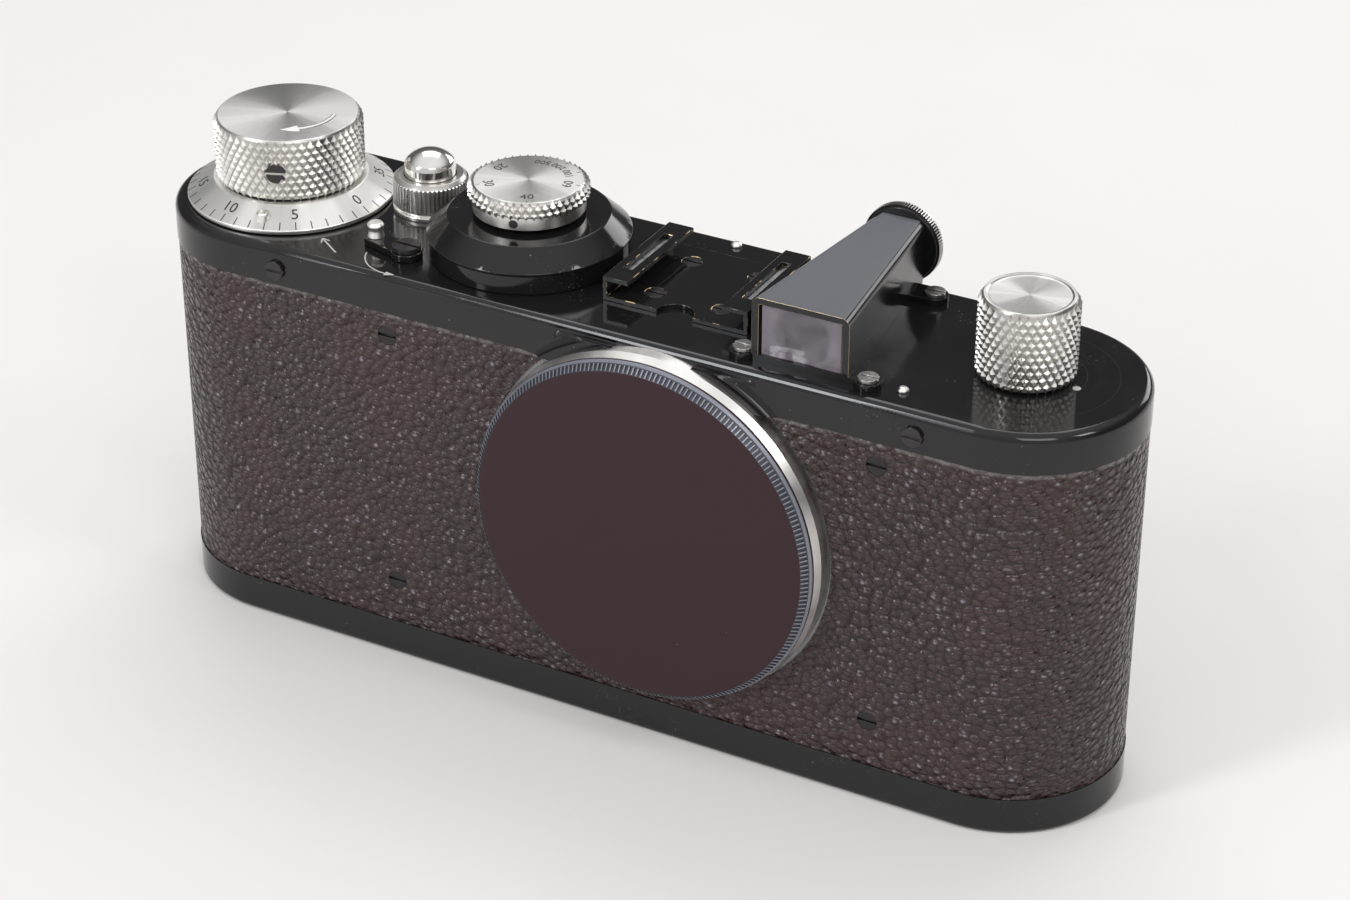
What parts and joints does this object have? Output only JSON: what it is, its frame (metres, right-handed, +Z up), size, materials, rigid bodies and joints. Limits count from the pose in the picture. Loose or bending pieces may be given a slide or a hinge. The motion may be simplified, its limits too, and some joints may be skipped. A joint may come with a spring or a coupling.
{
  "type": "35 mm viewfinder camera body",
  "caption": "Small round-ended 35 mm camera body with a viewfinder, knurled wind and rewind knobs, speed dial, accessory shoe, screw lens mount under a body cap and a removable base.",
  "frame": {"origin": "middle of the base plate's underside", "axes": "+Z up out of the top plate, -Y out of the lens mount, +X along the body to the rewind end"},
  "size_m": [0.133, 0.0366, 0.0667],
  "materials": {
    "black_lacquer": "gloss black lacquer on brass, worn at the edges",
    "covering": "pebbled hard rubber, semi-matt",
    "shell_metal": "satin",
    "crate_metal": "black anodised",
    "cap_black": "satin black",
    "nickel": "satin nickel plate",
    "steel": "turned steel",
    "screw_steel": "nickelled",
    "black_screw": "blackened steel",
    "brass": "machined",
    "curtain_cloth": "rubberised cloth",
    "finder_glass": "polished glass"
  },
  "bodies": {
    "camera": {"body_shell": "shell_metal", "body_covering": "covering", "covering_screws": "black_screw", "top_cover": "black_lacquer", "top_cover_screws": "black_screw", "plate_studs": "nickel", "lens_flange": "nickel", "flange_screws": "screw_steel", "wind_bush": "brass", "first_curtain": "curtain_cloth", "second_curtain": "curtain_cloth", "shutter_crate": "crate_metal", "top_frame": "crate_metal", "film_gate": "crate_metal", "pressure_plate": "crate_metal", "pressure_springs": "brass", "dial_turret": "black_lacquer", "lever_screw": "screw_steel", "accessory_shoe": "black_lacquer", "shoe_springs": "steel", "shoe_screws": "black_screw", "finder_housing": "black_lacquer", "finder_front_lens": "finder_glass", "eyepiece_ring": "black_lacquer", "eyepiece_lens": "finder_glass", "finder_screws": "black_screw", "rewind_bush": "brass", "release_spring": "steel"},
    "cap": {"body_cap": "cap_black"},
    "wind": {"wind_knob": "nickel", "wind_knob_screw": "screw_steel", "wind_shaft": "steel", "wind_gear": "brass", "take_up_spool": "crate_metal"},
    "counter": {"counter_dial": "nickel", "counter_studs": "nickel"},
    "release": {"release_button": "nickel"},
    "collar": {"release_collar": "nickel"},
    "sprocket": {"film_sprocket": "steel", "sprocket_gear": "brass"},
    "drum": {"shutter_drum": "steel", "drum_gear": "brass"},
    "roller_one": {"first_roller": "steel"},
    "roller_two": {"second_roller": "steel"},
    "spindle": {"speed_spindle": "steel"},
    "dial": {"speed_dial": "nickel", "speed_dial_screw": "screw_steel"},
    "lever": {"rewind_lever": "nickel", "lever_post": "nickel"},
    "rewind": {"rewind_spindle": "steel"},
    "rewind_grip": {"rewind_knob": "nickel"},
    "base": {"base_plate": "black_lacquer", "base_hook": "steel", "tripod_bush": "brass"},
    "lock": {"lock_disc": "nickel", "lock_claw": "steel", "handle_pins": "steel"},
    "handle": {"lock_handle": "nickel"}
  },
  "joints": [
    {"name": "cap_off", "type": "slide", "parent": "camera", "child": "cap", "axis": [0, -1, 0], "range_m": [0, 0.03]},
    {"name": "wind_turn", "type": "hinge", "parent": "camera", "child": "wind", "pos_m": [-0.0514, 0, 0.058], "axis": [0, 0, 1], "continuous": true},
    {"name": "counter_turn", "type": "hinge", "parent": "camera", "child": "counter", "pos_m": [-0.0514, 0, 0.057], "axis": [0, 0, 1], "continuous": true},
    {"name": "sprocket_turn", "type": "hinge", "parent": "camera", "child": "sprocket", "pos_m": [-0.03304, 0.0045, 0.051], "axis": [0, 0, 1], "continuous": true},
    {"name": "drum_turn", "type": "hinge", "parent": "camera", "child": "drum", "pos_m": [-0.01577, 0, 0.051], "axis": [0, 0, 1], "continuous": true},
    {"name": "first_roller_turn", "type": "hinge", "parent": "camera", "child": "roller_one", "pos_m": [0.0353, 0.006, 0.031], "axis": [0, 0, 1], "continuous": true},
    {"name": "second_roller_turn", "type": "hinge", "parent": "camera", "child": "roller_two", "pos_m": [0.0301, 0.0055, 0.031], "axis": [0, 0, 1], "continuous": true},
    {"name": "release_press", "type": "slide", "parent": "camera", "child": "release", "axis": [0, 0, -1], "range_m": [0, 0.003], "stiffness_N_per_m": 500, "springref_m": -0.002, "deforming": ["release_spring"]},
    {"name": "collar_turn", "type": "hinge", "parent": "camera", "child": "collar", "pos_m": [-0.03304, 0.0045, 0.056], "axis": [0, 0, 1], "continuous": true},
    {"name": "speed_set", "type": "hinge", "parent": "camera", "child": "spindle", "pos_m": [-0.01577, 0, 0.06], "axis": [0, 0, 1], "range_deg": [-120, 160]},
    {"name": "speed_lift", "type": "slide", "parent": "spindle", "child": "dial", "axis": [0, 0, 1], "range_m": [0, 0.002]},
    {"name": "lever_turn", "type": "hinge", "parent": "camera", "child": "lever", "pos_m": [-0.0282, -0.0091, 0.056], "axis": [0, 0, 1], "range_deg": [0, 60]},
    {"name": "rewind_turn", "type": "hinge", "parent": "camera", "child": "rewind", "pos_m": [0.0514, 0, 0.056], "axis": [0, 0, 1], "continuous": true},
    {"name": "rewind_pull", "type": "slide", "parent": "rewind", "child": "rewind_grip", "axis": [0, 0, 1], "range_m": [0, 0.005]},
    {"name": "base_off", "type": "slide", "parent": "camera", "child": "base", "axis": [0, 0, -1], "range_m": [0, 0.055]},
    {"name": "lock_turn", "type": "hinge", "parent": "base", "child": "lock", "pos_m": [0.0514, 0, 0], "axis": [0, 0, -1], "range_deg": [0, 180]},
    {"name": "handle_fold", "type": "hinge", "parent": "lock", "child": "handle", "pos_m": [0.0514, 0, 0.0007], "axis": [0, 1, 0], "range_deg": [0, 90]}
  ],
  "couplings": [
    {"joint": "counter_turn", "follows": "wind_turn", "ratio": 0.0425},
    {"joint": "sprocket_turn", "follows": "wind_turn", "ratio": -1.7},
    {"joint": "drum_turn", "follows": "wind_turn", "ratio": 1.0968},
    {"joint": "first_roller_turn", "follows": "wind_turn", "ratio": 4.1129},
    {"joint": "second_roller_turn", "follows": "wind_turn", "ratio": 4.1129}
  ]
}
